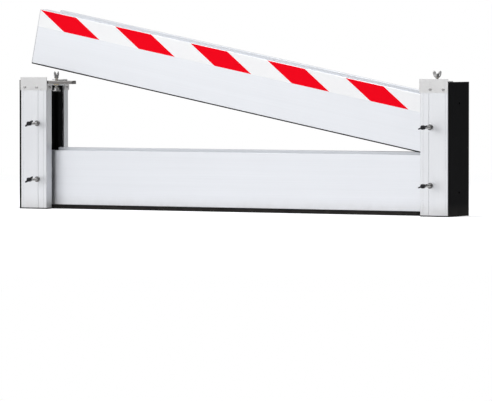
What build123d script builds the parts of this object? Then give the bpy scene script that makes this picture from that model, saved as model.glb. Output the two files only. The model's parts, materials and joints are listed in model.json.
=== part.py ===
from build123d import *
import os
from math import radians, tan

# Demountable flood barrier for a garage or yard entrance, in millimetres.
# +Z is up, +X runs along the boards, -Y is the front (the dry, screw side).
# The origin is the middle of the opening, at the floor, on the boards' mid-plane.

# Opening and posts
opening = 1460.0            # clear width between the two posts
post_width = 105.0          # along X, from the mouth to the wall side
post_top = 436.0            # top of the aluminium section
web_wall = 5.0
flange_wall = 3.0
front_flange = 35.0         # depth of the front box flange, along Y
rear_flange = 30.0
groove_from_mouth = (33.5, 95.0, 12.0)
groove_width = (3.0, 1.2, 1.2)
groove_depth = (1.2, 0.6, 0.6)
outer_corner_radius = 3.0

# Boards
board_thickness = 50.0
board_body = 190.0          # height of the aluminium section
board_wall = 2.5
board_rib = 2.0
board_ribs = 2
board_end_gap = 34.0        # from a board's end to the liner
slot_width = 20.0           # along the underside, for the strip of the board below
slot_depth = 9.0
strip_width = 16.0          # joint strip on top of each board
strip_height = 11.0
strip_wall = 2.5
strip_edge = 1.5
strip_inside_mouth = 9.0    # strip stops short of the posts and of the swinging feet
seal_fit = 0.2              # floor seal's rib in the lower board's slot
edge_radius = 1.5
end_cap = 3.0
plug_depth = 8.0
plug_clearance = 0.2
bottom_seal = 15.0          # squeezed height of the floor seal
floor_groove_width = 8.0
floor_groove_depth = 8.0
floor_groove_y = 11.0
seal_inset = 2.0            # seal set back from each face of the board
joint_seal = 4.0            # seal between the two boards
joint_gap = 2.2             # left open above the lower board until it is pressed down
tilt = 11.0                 # upper board as it is being put in, degrees
insertion = 5.0             # bottom corner of the tilted board inside the right mouth

# Reflective tape on the upper board
tape_height = 58.5
tape_thickness = 0.3
stripe_thickness = 0.2
stripe_count = 5
stripe_pitch = 307.0
stripe_length = 147.0
stripe_slant = 108.0

# Rubber in the posts
wall_gasket = 5.0
gasket_above_post = 16.0
liner = 3.0
liner_side_gap = 0.5
base_pad = 4.0
rear_seal_width = 40.0
rear_seal_base = 7.0
rear_seal_lip = 9.0         # middle of a lip from the strip's edge
rear_seal_lip_radius = 6.3
rear_seal_from_mouth = 5.0
seal_to_board = 1.0
rubber_below_top = 4.0
lip_width = 6.0
lip_reach = 2.0

# Pressure bar and its wing screws
bar_space = 15.0            # from the front flange to the board
rear_space = 20.0
screw_from_mouth = 38.0
bar_width = 30.0
bar_plate = 5.0
bar_rubber = 4.5
bar_rubber_edge = 1.5
bar_behind_flange = 0.5
bar_bottom = 20.0
bar_below_top = 30.0
screw_below_middle = 6.0    # below the middle of the board that the screw presses
screw_names = ("lower", "upper")
thread = 10.0
running_gap = 0.05          # radial, screw in its bush and arm on its pivot
tip_socket = 3.0
tip_gap = 0.3
bush_outer = 16.0
bush_flange = 20.0
bush_flange_thickness = 4.0
screw_reach = 55.0          # from the post's face to the wing hub's middle
hub_diameter = 15.0
hub_length = 14.0
collar_diameter = 13.0
collar_length = 5.0
wing_span = 36.0
wing_height = 15.0
wing_thickness = 4.0
wing_lean = 18.0            # of each ear, outwards, degrees
ear_middle = 0.3            # ear's middle from the axis, as a share of the span
ear_half = 0.2
ear_foot = 1.0              # ears start above the hub's base
root_span = 0.5             # web between the ears, as shares of the span and the hub
root_height = 0.5
root_level = 0.35
hub_edge = 2.0
wing_turn = {"left": 35.0, "right": 20.0}

# Clamp arm and hold-down
plate = 2.5                 # stainless bracket sheet
bracket_overlap = 20.0      # down the post from its top
guard_height = 26.0         # front plate above the post, in front of the arm
tongue_gap = 1.0
tongue_thickness = 3.0
tongue_depth = 30.0
tongue_width = 44.0
pivot_from_mouth = 27.0
arm_lift = 2.0
arm_thickness = 12.0
arm_width = 30.0
arm_tip_gap = 1.5           # arm tip to the rear bracket's upright
arm_edge = 1.5
arm_corner = 6.0
bolt_head = 17.0
bolt_head_height = 6.5
bolt_head_gap = 0.3
turned_edge = 1.0
hex_socket = 8.0
hex_depth = 3.5
washer_outer = 22.0
washer_thickness = 1.7
block_width = 40.0
block_height = 26.0
foot_radius = 14.0
foot_plate = 4.0
foot_rubber = 4.0
foot_collar = 9.0
foot_collar_height = 9.0
foot_over_board = {"left": 8.0, "right": 15.3}  # rubber above the seated board, at rest
foot_least = 0.5            # left over the seated board with the screw wound down
arm_bush_outer = 18.0
arm_bush_below = 2.0
hold_wing_height = 25.0
hold_wing_span = 30.0
hold_hub_length = 15.0

# Fasteners
screw_head = 10.0
screw_head_height = 3.2
screw_head_edge = 1.9
screw_shank = 6.0
screw_key = 4.0
screw_key_depth = 1.6
bracket_screw_below_top = 10.0
bracket_screw_from_outer = (18.0, 66.0)
wall_hole = 9.0
wall_hole_from_foot = 80.0
wall_hole_from_top = 56.0

# Worked out from the sizes above
mouth = opening / 2
outer = mouth + post_width
board_face = board_thickness / 2
front_inner = -board_face - bar_space
front_face = front_inner - front_flange
rear_inner = board_face + rear_space
rear_face = rear_inner + rear_flange
web_inner = outer - web_wall
liner_face = web_inner - liner
board_half = liner_face - board_end_gap
body_half = board_half - end_cap
rubber_top = post_top - rubber_below_top
strip_half = mouth - strip_inside_mouth
lower_top = bottom_seal + board_body
upper_seal_bottom = lower_top + joint_gap
upper_body_bottom = upper_seal_bottom + joint_seal
upper_top = upper_body_bottom + board_body
tilted_corner = mouth + insertion
half_slide = (board_half - tilted_corner) / 2
pole_x = board_half - half_slide
pole_z = upper_seal_bottom + half_slide / tan(radians(tilt / 2))
screw_x = mouth + screw_from_mouth
pivot_x = mouth + pivot_from_mouth
pivot_y = (front_face + front_inner) / 2
arm_low = post_top + arm_lift
arm_high = arm_low + arm_thickness
arm_length = rear_face - arm_tip_gap - pivot_y
tongue_low = arm_high + tongue_gap
bracket_low = post_top - bracket_overlap
bracket_high = post_top + guard_height
bracket_screw_z = post_top - bracket_screw_below_top
gasket_top = post_top + gasket_above_post
wall_hole_levels = (wall_hole_from_foot, post_top - wall_hole_from_top)
bar_top = rubber_top - bar_below_top
screw_levels = (bottom_seal + board_body / 2 - screw_below_middle,
                upper_body_bottom + board_body / 2 - screw_below_middle)


def block(x0, x1, y0, y1, z0, z1):
    """A box given by its faces."""
    size = Box(x1 - x0, y1 - y0, z1 - z0)
    return Pos((x0 + x1) / 2, (y0 + y1) / 2, (z0 + z1) / 2) * size


def post_up(x, y, z0, z1, diameter):
    """A cylinder standing along Z."""
    return Pos(x, y, (z0 + z1) / 2) * Cylinder(diameter / 2, z1 - z0)


def post_along_y(x, z, y0, y1, diameter):
    """A cylinder lying along Y."""
    return Pos(x, (y0 + y1) / 2, z) * Rot(90, 0, 0) * Cylinder(diameter / 2, y1 - y0)


def post_along_x(y, z, x0, x1, diameter):
    """A cylinder lying along X."""
    return Pos((x0 + x1) / 2, y, z) * Rot(0, 90, 0) * Cylinder(diameter / 2, x1 - x0)


def save(name, shape):
    """One node, one file."""
    shape = Compound(children=list(shape.solids())) if len(shape.solids()) > 1 else shape.solid()
    shape.label = name
    export_step(shape, f"parts/{name}.step")


def post_section():
    """Channel with two box flanges and a single web, mouth towards the opening."""
    body = block(web_inner, outer, front_face, rear_face, base_pad, post_top)
    for near, far in ((front_face, front_inner), (rear_inner, rear_face)):
        body += block(mouth, outer, near, far, base_pad, post_top)
    corners = body.edges().filter_by(Axis.Z).group_by(Axis.Y)
    body = fillet(corners[0] + corners[-1], outer_corner_radius)
    for near, far in ((front_face, front_inner), (rear_inner, rear_face)):
        body -= block(mouth + flange_wall, outer - web_wall, near + flange_wall, far - flange_wall,
                      base_pad, post_top)
    for offset, width, depth in zip(groove_from_mouth, groove_width, groove_depth):
        body -= block(mouth + offset - width / 2, mouth + offset + width / 2,
                      front_face, front_face + depth, base_pad, post_top)
    for level in screw_levels:
        body -= post_along_y(screw_x, level, front_face, front_inner, bush_outer)
    for level in wall_hole_levels:
        body -= post_along_x(0, level, web_inner, outer, wall_hole)
    for shank in bracket_shanks():
        body -= shank
    return body


def bracket_shanks():
    """The threaded shanks of the bracket screws, front, rear and mouth sides."""
    shanks = []
    for offset in bracket_screw_from_outer:
        for y0, y1 in ((front_face - plate, front_face + flange_wall), (rear_face - flange_wall, rear_face + plate)):
            shanks.append(post_along_y(outer - offset, bracket_screw_z, y0, y1, screw_shank))
    for y in (pivot_y, (rear_inner + rear_face) / 2):
        shanks.append(post_along_x(y, bracket_screw_z, mouth - plate, mouth + flange_wall, screw_shank))
    return shanks


def button_head():
    """A low round head with a key socket, standing on Z = 0."""
    head = Pos(0, 0, screw_head_height / 2) * Cylinder(screw_head / 2, screw_head_height)
    top = head.edges().filter_by(GeomType.CIRCLE).group_by(Axis.Z)[-1]
    head = fillet(top, screw_head_edge)
    key = extrude(RegularPolygon(screw_key / 2, 6, major_radius=False), screw_key_depth)
    return head - Pos(0, 0, screw_head_height - screw_key_depth) * key


def bracket_screws():
    """Six button-head screws, heads outside the bracket sheet."""
    screws = []
    head = button_head()
    shanks = bracket_shanks()
    for i, offset in enumerate(bracket_screw_from_outer):
        x = outer - offset
        screws.append(shanks[2 * i] + Pos(x, front_face - plate, bracket_screw_z) * Rot(90, 0, 0) * head)
        screws.append(shanks[2 * i + 1] + Pos(x, rear_face + plate, bracket_screw_z) * Rot(-90, 0, 0) * head)
    for i, y in enumerate((pivot_y, (rear_inner + rear_face) / 2)):
        screws.append(shanks[4 + i] + Pos(mouth - plate, y, bracket_screw_z) * Rot(0, -90, 0) * head)
    return Compound(children=screws)


def front_bracket():
    """Front plate standing above the post, with a return on the mouth side."""
    face = block(mouth - plate, outer, front_face - plate, front_face, bracket_low, bracket_high)
    side = block(mouth - plate, mouth, front_face, front_inner, bracket_low, post_top)
    body = face + side
    for shank in bracket_shanks():
        body -= shank
    return body


def rear_bracket():
    """Rear plate and mouth return, with a tongue that holds the arm's tip down."""
    face = block(mouth - plate, outer, rear_face, rear_face + plate, bracket_low, post_top)
    side = block(mouth - plate, mouth, rear_inner, rear_face, bracket_low, post_top)
    x0, x1 = pivot_x - tongue_width / 2, pivot_x + tongue_width / 2
    upright = block(x0, x1, rear_face, rear_face + plate, post_top, tongue_low + tongue_thickness)
    tongue = block(x0, x1, rear_face - tongue_depth, rear_face, tongue_low, tongue_low + tongue_thickness)
    body = face + side + upright + tongue
    for shank in bracket_shanks():
        body -= shank
    return body


def rear_seal():
    """Rubber strip on the rear flange, with two rounded lips towards the board."""
    x0 = mouth + rear_seal_from_mouth
    x1 = x0 + rear_seal_width
    front = board_face + seal_to_board
    base = block(x0, x1, rear_inner - rear_seal_base, rear_inner, base_pad, rubber_top)
    radius = rear_seal_lip_radius
    for centre in (x0 + rear_seal_lip, x1 - rear_seal_lip):
        lip = block(centre - radius, centre + radius, front + radius, rear_inner - rear_seal_base,
                    base_pad, rubber_top)
        lip += post_up(centre, front + radius, base_pad, rubber_top, 2 * radius)
        base += lip
    return base


def wing_head(span, height, hub_d, hub_h, thickness):
    """A wing head standing on Z = 0: round hub with two rounded wings rising from it."""
    hub = Pos(0, 0, hub_h / 2) * Cylinder(hub_d / 2, hub_h)
    hub = fillet(hub.edges().filter_by(GeomType.CIRCLE).group_by(Axis.Z)[-1], hub_edge)
    ear = Ellipse(span * ear_half, height / 2)
    ears = Pos(span * ear_middle, height / 2) * Rot(0, 0, -wing_lean) * ear
    ears += Pos(-span * ear_middle, height / 2) * Rot(0, 0, wing_lean) * ear
    ears += Pos(0, hub_h * root_level) * Rectangle(span * root_span, hub_h * root_height)
    wings = extrude(Plane.XZ * ears, thickness / 2, both=True)
    keep = block(-span, span, -thickness, thickness, ear_foot, height)
    return hub + (wings & keep)


def front_screw(level, turn):
    """Wing screw lying along Y, its tip in the pressure bar's socket."""
    bar_front = front_inner + bar_behind_flange
    tip = bar_front + tip_socket - tip_gap
    head_base = front_face - screw_reach + hub_length / 2
    shaft = post_along_y(screw_x, level, head_base, tip, thread)
    collar = post_along_y(screw_x, level, head_base, head_base + collar_length, collar_diameter)
    head = wing_head(wing_span, wing_height, hub_diameter, hub_length, wing_thickness)
    placed = Pos(screw_x, head_base, level) * Rot(90, 0, 0) * Rot(0, 0, turn) * head
    return shaft + collar + placed


def screw_bushes():
    """Flanged threaded bushes through the front flange, one for each wing screw."""
    bushes = []
    for level in screw_levels:
        body = post_along_y(screw_x, level, front_face, front_inner, bush_outer)
        body += post_along_y(screw_x, level, front_face - bush_flange_thickness, front_face, bush_flange)
        body -= post_along_y(screw_x, level, front_face - bush_flange_thickness, front_inner,
                             thread + 2 * running_gap)
        bushes.append(body)
    return Compound(children=bushes)


def pressure_bar():
    """Flat bar behind the front flange, with a blind socket for each screw tip."""
    y0 = front_inner + bar_behind_flange
    half = bar_width / 2
    body = block(screw_x - half, screw_x + half, y0, y0 + bar_plate, bar_bottom, bar_top)
    for level in screw_levels:
        body -= post_along_y(screw_x, level, y0, y0 + tip_socket, thread + 2 * tip_gap)
    return body


def bar_facing():
    """Rubber on the board side of the pressure bar."""
    y0 = front_inner + bar_behind_flange + bar_plate
    half = bar_width / 2
    body = block(screw_x - half, screw_x + half, y0, y0 + bar_rubber, bar_bottom, bar_top)
    return chamfer(body.faces().sort_by(Axis.Y)[-1].edges(), bar_rubber_edge)


def clamp_arm():
    """Flat arm from the pivot over the channel to the tongue, drawn closed."""
    outline = Pos(pivot_x, pivot_y) * Circle(arm_width / 2)
    outline += Pos(pivot_x, pivot_y + arm_length / 2) * Rectangle(arm_width, arm_length)
    body = Pos(0, 0, arm_low) * extrude(outline, arm_thickness)
    tip = body.faces().sort_by(Axis.Y)[-1]
    body = fillet(tip.edges().filter_by(Axis.Z), arm_corner)
    body = chamfer(body.faces().filter_by(Axis.Z).sort_by(Axis.Z)[-1].edges(), arm_edge)
    body -= post_up(pivot_x, pivot_y, arm_low, arm_high, thread + 2 * running_gap)
    body -= post_up(pivot_x, 0, arm_low, arm_high, arm_bush_outer)
    return body


def arm_bush():
    """Threaded bush pressed into the arm for the hold-down screw."""
    body = post_up(pivot_x, 0, arm_low - arm_bush_below, arm_high, arm_bush_outer)
    return body - post_up(pivot_x, 0, arm_low - arm_bush_below, arm_high, thread + 2 * running_gap)


def pivot_bolt():
    """Socket-head bolt that the arm swings on, with its washer under the arm."""
    head_low = arm_high + bolt_head_gap
    head_high = head_low + bolt_head_height
    shank = post_up(pivot_x, pivot_y, post_top - block_height, head_low, thread)
    head = post_up(pivot_x, pivot_y, head_low, head_high, bolt_head)
    head = chamfer(head.edges().group_by(Axis.Z)[-1], turned_edge)
    key = extrude(RegularPolygon(hex_socket / 2, 6, major_radius=False), hex_depth)
    head -= Pos(pivot_x, pivot_y, head_high - hex_depth) * key
    return shank + head


def pivot_washer():
    """Washer that carries the arm on the top of the front flange."""
    body = post_up(pivot_x, pivot_y, post_top, post_top + washer_thickness, washer_outer)
    return body - post_up(pivot_x, pivot_y, post_top, post_top + washer_thickness, thread)


def pivot_block():
    """Threaded block in the front flange's chamber, with the pivot bolt in it."""
    body = block(pivot_x - block_width / 2, pivot_x + block_width / 2,
                 front_face + flange_wall, front_inner - flange_wall,
                 post_top - block_height, post_top)
    body -= post_up(pivot_x, pivot_y, post_top - block_height, post_top, thread)
    for shank in bracket_shanks():
        body -= shank
    return body


def press_foot(foot_low):
    """Swivelling foot: round plate with a collar round the screw's tip."""
    plate_low = foot_low + foot_rubber
    body = post_up(pivot_x, 0, plate_low, plate_low + foot_plate, 2 * foot_radius)
    body = chamfer(body.edges().group_by(Axis.Z)[-1], turned_edge)
    body += post_up(pivot_x, 0, plate_low + foot_plate, plate_low + foot_plate + foot_collar_height,
                    2 * foot_collar)
    return body - post_up(pivot_x, 0, plate_low + foot_plate, plate_low + foot_plate + foot_collar_height,
                          thread + 2 * tip_gap)


def press_foot_pad(foot_low):
    """Rubber disc under the foot."""
    return post_up(pivot_x, 0, foot_low, foot_low + foot_rubber, 2 * foot_radius)


def hold_down_screw(foot_low):
    """Standing wing screw through the arm, its tip in the foot's collar."""
    tip = foot_low + foot_rubber + foot_plate + tip_gap
    head_base = arm_high + tip_gap + foot_low - upper_top - foot_least
    body = post_up(pivot_x, 0, tip, head_base, thread)
    head = wing_head(hold_wing_span, hold_wing_height, hub_diameter, hold_hub_length, wing_thickness)
    return body + Pos(pivot_x, 0, head_base) * head


def board_section(bottom):
    """Hollow board with ribs across it and a slot along its underside."""
    body = block(-body_half, body_half, -board_face, board_face, bottom, bottom + board_body)
    body = fillet(body.edges().filter_by(Axis.X), edge_radius)
    body -= block(-body_half, body_half, -slot_width / 2, slot_width / 2, bottom, bottom + slot_depth)
    pocket = block(-body_half, body_half, slot_width / 2 + board_wall, board_face - board_wall,
                   bottom + board_wall, bottom + slot_depth)
    body -= pocket
    body -= mirror(pocket, Plane.XZ)
    for low, high in board_chambers(bottom):
        body -= block(-body_half, body_half, -board_face + board_wall, board_face - board_wall, low, high)
    return body


def board_chambers(bottom):
    """Lowest and highest point of each hollow chamber above a board's slot."""
    first = bottom + slot_depth + board_wall
    inside = bottom + board_body - board_wall - first
    height = (inside - board_ribs * board_rib) / (board_ribs + 1)
    return [(first + i * (height + board_rib), first + i * (height + board_rib) + height)
            for i in range(board_ribs + 1)]


def joint_strip(top):
    """Square tube along the top of a board, which enters the slot of the next one."""
    half = strip_width / 2
    body = block(-strip_half, strip_half, -half, half, top, top + strip_height)
    body = chamfer(body.edges().filter_by(Axis.X).group_by(Axis.Z)[-1], strip_edge)
    return body - block(-strip_half, strip_half, strip_wall - half, half - strip_wall,
                        top + strip_wall, top + strip_height - strip_wall)


def end_caps(bottom):
    """Moulded caps closing both ends of a board, with a plug in each chamber."""
    inner_y = board_face - board_wall - plug_clearance
    cap = block(body_half, board_half, -board_face, board_face, bottom, bottom + board_body)
    cap = fillet(cap.faces().sort_by(Axis.X)[-1].edges(), edge_radius)
    for low, high in board_chambers(bottom):
        cap += block(body_half - plug_depth, body_half, -inner_y, inner_y,
                     low + plug_clearance, high - plug_clearance)
    return Compound(children=[cap.solid(), mirror(cap, Plane.YZ).solid()])


def floor_seal():
    """Rubber seal under the lower board: three legs below, and a rib up into the slot."""
    half = board_face - seal_inset
    rib = slot_width / 2 - seal_fit
    body = block(-board_half, board_half, -half, half, 0, bottom_seal)
    body += block(-body_half, body_half, -rib, rib, bottom_seal, bottom_seal + slot_depth - seal_fit)
    for y in (-floor_groove_y, floor_groove_y):
        body -= block(-board_half, board_half, y - floor_groove_width / 2, y + floor_groove_width / 2,
                      0, floor_groove_depth)
    return body


def upper_seal():
    """Two flat seals under the upper board, one on each side of its slot."""
    front = block(-board_half, board_half, seal_inset - board_face, -slot_width / 2,
                  upper_seal_bottom, upper_body_bottom)
    return Compound(children=[front.solid(), mirror(front, Plane.XZ).solid()])


def tape_base():
    """White retroreflective tape along the top of the upper board's front."""
    top = upper_top - edge_radius
    return block(-body_half, body_half, -board_face - tape_thickness, -board_face, top - tape_height, top)


def tape_stripes():
    """Red slanted stripes on the white tape, leaning down to the right."""
    top = upper_top - edge_radius
    low = top - tape_height
    face = -board_face - tape_thickness
    stripes = []
    for i in range(stripe_count):
        start = -body_half + i * stripe_pitch
        outline = Polygon((start, top), (start + stripe_slant, low),
                          (start + stripe_slant + stripe_length, low), (start + stripe_length, top), align=None)
        stripes.append(Pos(0, face, 0) * extrude(Plane.XZ * outline, stripe_thickness))
    return Compound(children=[s.solid() for s in stripes])


def tilted(shape):
    """A piece of the upper board as it stands half way in, left end up."""
    return Pos(pole_x, 0, pole_z) * Rot(0, tilt, 0) * Pos(-pole_x, 0, -pole_z) * shape


def swung_open(shape):
    """A piece of the left arm, turned about its pivot to stand along the opening."""
    return Pos(-pivot_x, pivot_y, 0) * Rot(0, 0, -90) * Pos(pivot_x, -pivot_y, 0) * shape


def save_side(side):
    """Every piece of one post."""
    def place(shape):
        return shape if side == "right" else mirror(shape, Plane.YZ)

    def place_arm(shape):
        return place(shape) if side == "right" else swung_open(place(shape))

    gasket = block(outer, outer + wall_gasket, front_face, rear_face, 0, gasket_top)
    sheet = block(liner_face, web_inner, front_inner + liner_side_gap, rear_inner - liner_side_gap,
                  base_pad, rubber_top)
    for level in wall_hole_levels:
        gasket -= post_along_x(0, level, outer, outer + wall_gasket, wall_hole)
        sheet -= post_along_x(0, level, liner_face, web_inner, wall_hole)
    pad = block(mouth, outer, front_face, rear_face, 0, base_pad)
    pad -= block(mouth, web_inner, front_inner, rear_inner, 0, base_pad)
    lip = block(mouth, mouth + lip_width, front_inner, front_inner + lip_reach, base_pad, rubber_top)

    fixed = {
        "post": post_section(), "wall_gasket": gasket, "web_liner": sheet,
        "rear_seal": rear_seal(), "front_lip": lip, "base_pad": pad,
        "front_bracket": front_bracket(), "rear_bracket": rear_bracket(),
        "bracket_screws": bracket_screws(), "pivot_bolt": pivot_bolt(),
        "pivot_washer": pivot_washer(), "pivot_block": pivot_block(),
        "screw_bushes": screw_bushes(), "pressure_bar": pressure_bar(), "bar_facing": bar_facing(),
    }
    for name, level in zip(screw_names, screw_levels):
        fixed[f"{name}_wing_screw"] = front_screw(level, wing_turn[side])
    foot_low = upper_top + foot_over_board[side]
    swinging = {
        "clamp_arm": clamp_arm(), "arm_bush": arm_bush(), "press_foot": press_foot(foot_low),
        "press_foot_pad": press_foot_pad(foot_low), "hold_down_screw": hold_down_screw(foot_low),
    }
    for name, shape in fixed.items():
        save(f"{side}_{name}", place(shape))
    for name, shape in swinging.items():
        save(f"{side}_{name}", place_arm(shape))


os.makedirs("parts", exist_ok=True)

save("lower_board", board_section(bottom_seal))
save("lower_board_end_caps", end_caps(bottom_seal))
save("lower_board_joint_strip", joint_strip(lower_top))
save("lower_board_floor_seal", floor_seal())
save("upper_board", tilted(board_section(upper_body_bottom)))
save("upper_board_end_caps", tilted(end_caps(upper_body_bottom)))
save("upper_board_joint_strip", tilted(joint_strip(upper_top)))
save("upper_board_seal", tilted(upper_seal()))
save("upper_board_tape", tilted(tape_base()))
save("upper_board_stripes", tilted(tape_stripes()))
for post_side in ("left", "right"):
    save_side(post_side)

print(f"board pole x={pole_x:.4f} z={pole_z:.4f}; arm pivot x={pivot_x} y={pivot_y}")
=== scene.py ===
import json
from math import cos, hypot, pi, radians, sin

import bmesh
import bpy
from mathutils import Matrix, Vector

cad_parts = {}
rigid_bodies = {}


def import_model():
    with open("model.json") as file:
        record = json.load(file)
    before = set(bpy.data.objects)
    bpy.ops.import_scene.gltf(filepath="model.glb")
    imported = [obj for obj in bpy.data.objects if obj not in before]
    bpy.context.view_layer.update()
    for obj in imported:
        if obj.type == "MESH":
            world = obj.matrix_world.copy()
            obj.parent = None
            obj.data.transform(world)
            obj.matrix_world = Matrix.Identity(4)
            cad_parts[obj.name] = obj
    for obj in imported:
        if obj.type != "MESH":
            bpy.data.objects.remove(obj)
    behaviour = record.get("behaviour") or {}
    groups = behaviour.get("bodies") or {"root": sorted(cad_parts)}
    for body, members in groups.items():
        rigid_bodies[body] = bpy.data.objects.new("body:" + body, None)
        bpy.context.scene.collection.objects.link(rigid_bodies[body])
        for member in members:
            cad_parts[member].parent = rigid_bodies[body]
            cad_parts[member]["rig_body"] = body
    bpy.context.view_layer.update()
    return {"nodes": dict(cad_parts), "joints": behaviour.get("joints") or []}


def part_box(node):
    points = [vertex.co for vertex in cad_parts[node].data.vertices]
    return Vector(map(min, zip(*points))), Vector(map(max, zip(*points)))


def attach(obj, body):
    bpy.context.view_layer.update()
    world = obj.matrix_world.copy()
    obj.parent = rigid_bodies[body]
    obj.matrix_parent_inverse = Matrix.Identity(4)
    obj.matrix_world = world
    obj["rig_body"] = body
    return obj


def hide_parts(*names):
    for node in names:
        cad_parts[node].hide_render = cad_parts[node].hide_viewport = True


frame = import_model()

nodes = frame["nodes"]
scene = bpy.context.scene

# ---------------------------------------------------------------------------------------------
# Posts. Two lengths of aluminium channel with box flanges, extruded in one piece, satin
# anodised and sawn to length. Every long corner is broken by the die, and its new faces take
# a tint brighter than the post: a painted highlight along each edge.


def add(tree, kind, inputs=None, **settings):
    """One node, with its settings, and its inputs given as values or as sockets to join."""
    node = tree.nodes.new(kind)
    for key, value in settings.items():
        setattr(node, key, value)
    for key, value in (inputs or {}).items():
        if isinstance(value, bpy.types.NodeSocket):
            tree.links.new(value, node.inputs[key])
        else:
            node.inputs[key].default_value = value
    return node


def calc(tree, operation, a, b=0.0, c=0.0):
    """The result of one sum on sockets or numbers."""
    return add(tree, "ShaderNodeMath", {0: a, 1: b, 2: c}, operation=operation).outputs[0]


def colour_mix(tree, factor, a, b):
    """A blend of two colours."""
    return add(tree, "ShaderNodeMix", {0: factor, 6: a, 7: b}, data_type="RGBA").outputs[2]


def new_group(name, inputs, outputs):
    """An empty shader group with its sockets."""
    tree = bpy.data.node_groups.new(name, "ShaderNodeTree")
    for label, kind, value in inputs:
        socket = tree.interface.new_socket(label, in_out="INPUT", socket_type="NodeSocket" + kind)
        if value is not None:
            socket.default_value = value
    for label, kind in outputs:
        tree.interface.new_socket(label, in_out="OUTPUT", socket_type="NodeSocket" + kind)
    return tree, tree.nodes.new("NodeGroupInput").outputs, tree.nodes.new("NodeGroupOutput").inputs


def use(tree, group, inputs):
    """A shader group placed in a material, with its own values."""
    return add(tree, "ShaderNodeGroup", inputs, node_tree=group).outputs


def new_finish(name, **uniform):
    """A material with its one Principled shader, uniform values set on the shader itself."""
    material = bpy.data.materials.new(name)
    material.use_nodes = True
    tree = material.node_tree
    shader = tree.nodes["Principled BSDF"]
    for key, value in uniform.items():
        shader.inputs[key.replace("_", " ")].default_value = value
    return material, tree, shader


def drawn_lines():
    """Fine lines left along Z by an extrusion die or a brushing belt."""
    tree, given, put = new_group(
        "drawn_lines",
        [("Vector", "Vector", None), ("Lines per metre", "Float", 900.0),
         ("Stretch", "Float", 0.004)],
        [("Height", "Float"), ("Shade", "Float")])
    across = add(tree, "ShaderNodeCombineXYZ", {"X": given["Lines per metre"],
                                                "Y": given["Lines per metre"],
                                                "Z": calc(tree, "MULTIPLY", given["Lines per metre"],
                                                          given["Stretch"])})
    spread = add(tree, "ShaderNodeVectorMath", {0: given["Vector"], 1: across.outputs[0]},
                 operation="MULTIPLY").outputs[0]
    fine = add(tree, "ShaderNodeTexNoise", {"Vector": spread, "Scale": 1.0, "Detail": 2.0,
                                            "Roughness": 0.6}).outputs[0]
    broad = add(tree, "ShaderNodeTexNoise", {"Vector": spread, "Scale": 0.06, "Detail": 3.0,
                                             "Roughness": 0.5}).outputs[0]
    both = calc(tree, "ADD", calc(tree, "MULTIPLY", fine, 0.6), calc(tree, "MULTIPLY", broad, 0.4))
    tree.links.new(both, put["Height"])
    tree.links.new(both, put["Shade"])
    return tree


def handling():
    """Slow cloudy change of gloss, with sparse rub marks."""
    tree, given, put = new_group(
        "handling",
        [("Vector", "Vector", None), ("Clouds per metre", "Float", 9.0),
         ("Marks per metre", "Float", 38.0)],
        [("Cloud", "Float"), ("Marks", "Float")])
    cloud = add(tree, "ShaderNodeTexNoise",
                {"Vector": given["Vector"], "Scale": given["Clouds per metre"],
                 "Detail": 4.0, "Roughness": 0.55}).outputs[0]
    marks = add(tree, "ShaderNodeTexNoise",
                {"Vector": given["Vector"], "Scale": given["Marks per metre"],
                 "Detail": 6.0, "Roughness": 0.7, "Distortion": 1.4}).outputs[0]
    sparse = add(tree, "ShaderNodeMapRange", {"Value": marks, "From Min": 0.62, "From Max": 0.74})
    tree.links.new(cloud, put["Cloud"])
    tree.links.new(sparse.outputs[0], put["Marks"])
    return tree


def floor_dust():
    """Dust that gathers near the floor, by height."""
    tree, given, put = new_group(
        "floor_dust",
        [("Vector", "Vector", None), ("Height", "Float", 0.08)],
        [("Dust", "Float")])
    height = add(tree, "ShaderNodeSeparateXYZ", {0: given["Vector"]}).outputs["Z"]
    fall = add(tree, "ShaderNodeMapRange", {"Value": height, "From Min": given["Height"],
                                            "From Max": 0.0}, interpolation_type="SMOOTHSTEP")
    patches = add(tree, "ShaderNodeTexNoise", {"Vector": given["Vector"], "Scale": 24.0,
                                               "Detail": 5.0, "Roughness": 0.65}).outputs[0]
    tree.links.new(calc(tree, "MULTIPLY", fall.outputs[0], patches), put["Dust"])
    return tree


drawn_lines_group = drawn_lines()
handling_group = handling()
floor_dust_group = floor_dust()
DUST = (0.42, 0.39, 0.35, 1.0)
BLACK = (0.0, 0.0, 0.0, 1.0)
POLISHED = (0.62, 0.62, 0.63, 1.0)


def satin_aluminium(name, turn, tint, roughness, lines=700.0):
    """Anodised extrusion, its lines along the axis that turn brings to Z."""
    material, tree, shader = new_finish(name, Metallic=0.92, Specular_IOR_Level=0.5)
    where = add(tree, "ShaderNodeTexCoord").outputs["Object"]
    along = add(tree, "ShaderNodeMapping", {"Vector": where, "Rotation": turn}).outputs[0]
    grain = use(tree, drawn_lines_group, {"Vector": along, "Lines per metre": lines})
    rub = use(tree, handling_group, {"Vector": along})
    dust = use(tree, floor_dust_group, {"Vector": where, "Height": 0.06})["Dust"]
    shade = add(tree, "ShaderNodeMapRange", {"Value": grain["Shade"], "From Min": 0.3, "From Max": 0.7,
                                             "To Min": 0.955, "To Max": 1.0}).outputs[0]
    metal = colour_mix(tree, shade, BLACK, tint)
    dusty = colour_mix(tree, calc(tree, "MULTIPLY", dust, 0.5), metal, DUST)
    tree.links.new(dusty, shader.inputs["Base Color"])
    gloss = calc(tree, "MULTIPLY_ADD", rub["Cloud"], 0.12, roughness - 0.06)
    gloss = calc(tree, "MULTIPLY_ADD", rub["Marks"], -0.07, gloss)
    tree.links.new(calc(tree, "ADD", gloss, calc(tree, "MULTIPLY", dust, 0.3)), shader.inputs["Roughness"])
    bump = add(tree, "ShaderNodeBump", {"Height": grain["Height"], "Strength": 0.35,
                                        "Distance": 0.00008})
    tree.links.new(bump.outputs[0], shader.inputs["Normal"])
    return material


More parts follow.
